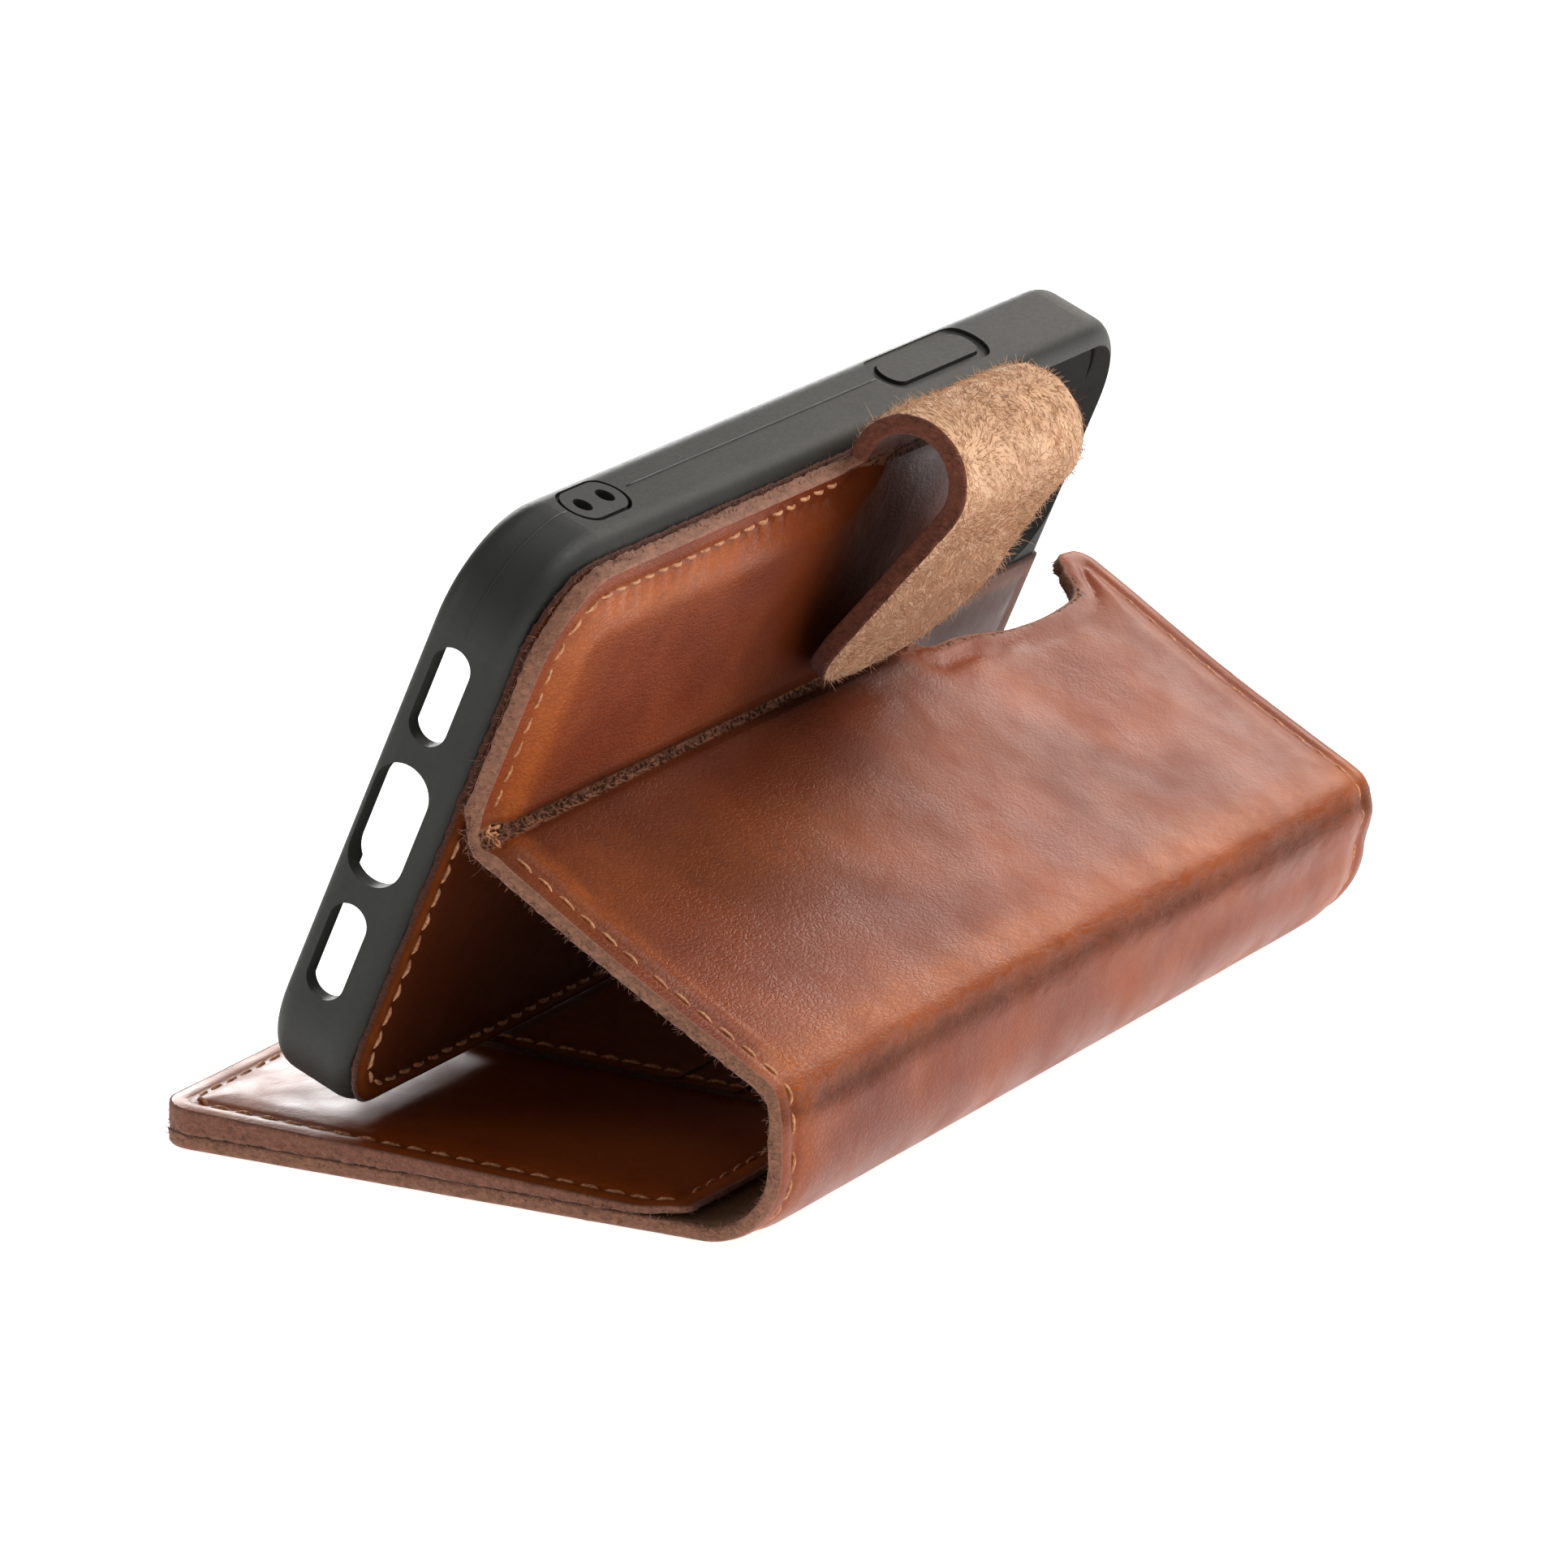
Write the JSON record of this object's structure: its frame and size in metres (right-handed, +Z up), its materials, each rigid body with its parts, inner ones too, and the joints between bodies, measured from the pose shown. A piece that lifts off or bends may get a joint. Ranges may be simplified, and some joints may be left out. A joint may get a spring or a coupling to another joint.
{
  "type": "phone wallet case",
  "caption": "Leather wallet case that folds into a stand: a flexible phone tray on a creased back, a rounded spine, a front cover with card pockets and a fold-back strap.",
  "frame": {"origin": "middle of the footprint on the table, under the front cover", "axes": "+X along the phone to its charging end, +Y from the cover's free edge to the spine, +Z up; the screen side faces -Y"},
  "size_m": [0.151, 0.084, 0.0813],
  "materials": {
    "hide": "burnished cognac pull-up leather, glossy",
    "lining": "smooth burnished leather",
    "flesh": "raw flesh side, fuzzy",
    "rubber": "matte black flexible tray",
    "insert": "matte",
    "thread": "waxed thread",
    "padding": "bonded fibre padding",
    "board": "fibre board"
  },
  "bodies": {
    "front_cover": {"front_cover_leather": "hide", "front_cover_padding": "padding", "front_cover_lining": "lining", "front_cover_stitching": "thread", "card_pocket_lower": "lining", "card_pocket_middle": "lining", "card_pocket_upper": "lining", "card_pocket_stitching": "thread"},
    "spine": {"spine_leather": "hide", "spine_stitching": "thread"},
    "lower_panel": {"lower_panel_leather": "hide", "lower_panel_stitching": "thread"},
    "phone_shell": {"phone_tray": "rubber", "lanyard_insert": "insert", "tray_lining": "lining", "tray_lining_stitching": "thread", "upper_panel_board": "board", "upper_panel_leather": "hide", "upper_panel_stitching": "thread"},
    "power_key": {"power_button": "rubber"},
    "volume_up_key": {"volume_up_button": "rubber"},
    "volume_down_key": {"volume_down_button": "rubber"},
    "strap_base": {"strap_root": "flesh"},
    "strap_bend": {"strap_crown": "flesh"},
    "strap_tab": {"strap_tongue": "flesh"}
  },
  "joints": [
    {"name": "cover_fold", "type": "hinge", "parent": "front_cover", "child": "spine", "pos_m": [0, 0.03799, 0.00401], "axis": [-1, 0, 0], "range_deg": [0, 90]},
    {"name": "spine_fold", "type": "hinge", "parent": "spine", "child": "lower_panel", "pos_m": [0, 0.04022, 0.01897], "axis": [-1, 0, 0], "range_deg": [0, 59]},
    {"name": "crease_fold", "type": "hinge", "parent": "lower_panel", "child": "phone_shell", "pos_m": [0, 0.00094, 0.04325], "axis": [1, 0, 0], "range_deg": [0, 82]},
    {"name": "strap_lift", "type": "hinge", "parent": "phone_shell", "child": "strap_base", "pos_m": [0, 0.01481, 0.07593], "axis": [1, 0, 0], "range_deg": [0, 45]},
    {"name": "strap_curl", "type": "hinge", "parent": "strap_base", "child": "strap_bend", "pos_m": [0, 0.02362, 0.07949], "axis": [1, 0, 0], "range_deg": [0, 90]},
    {"name": "strap_unroll", "type": "hinge", "parent": "strap_bend", "child": "strap_tab", "pos_m": [0, 0.02718, 0.07068], "axis": [1, 0, 0], "range_deg": [0, 63]},
    {"name": "power_press", "type": "slide", "parent": "phone_shell", "child": "power_key", "axis": [0, -0.3907, -0.9205], "range_m": [0, 0.0004], "stiffness_N_per_m": 2000},
    {"name": "volume_up_press", "type": "slide", "parent": "phone_shell", "child": "volume_up_key", "axis": [0, 0.3907, 0.9205], "range_m": [0, 0.0004], "stiffness_N_per_m": 2000},
    {"name": "volume_down_press", "type": "slide", "parent": "phone_shell", "child": "volume_down_key", "axis": [0, 0.3907, 0.9205], "range_m": [0, 0.0004], "stiffness_N_per_m": 2000}
  ],
  "couplings": [
    {"joint": "spine_fold", "follows": "crease_fold", "ratio": 0.7195},
    {"joint": "strap_curl", "follows": "strap_lift", "ratio": 2},
    {"joint": "strap_unroll", "follows": "strap_lift", "ratio": 1.4}
  ]
}
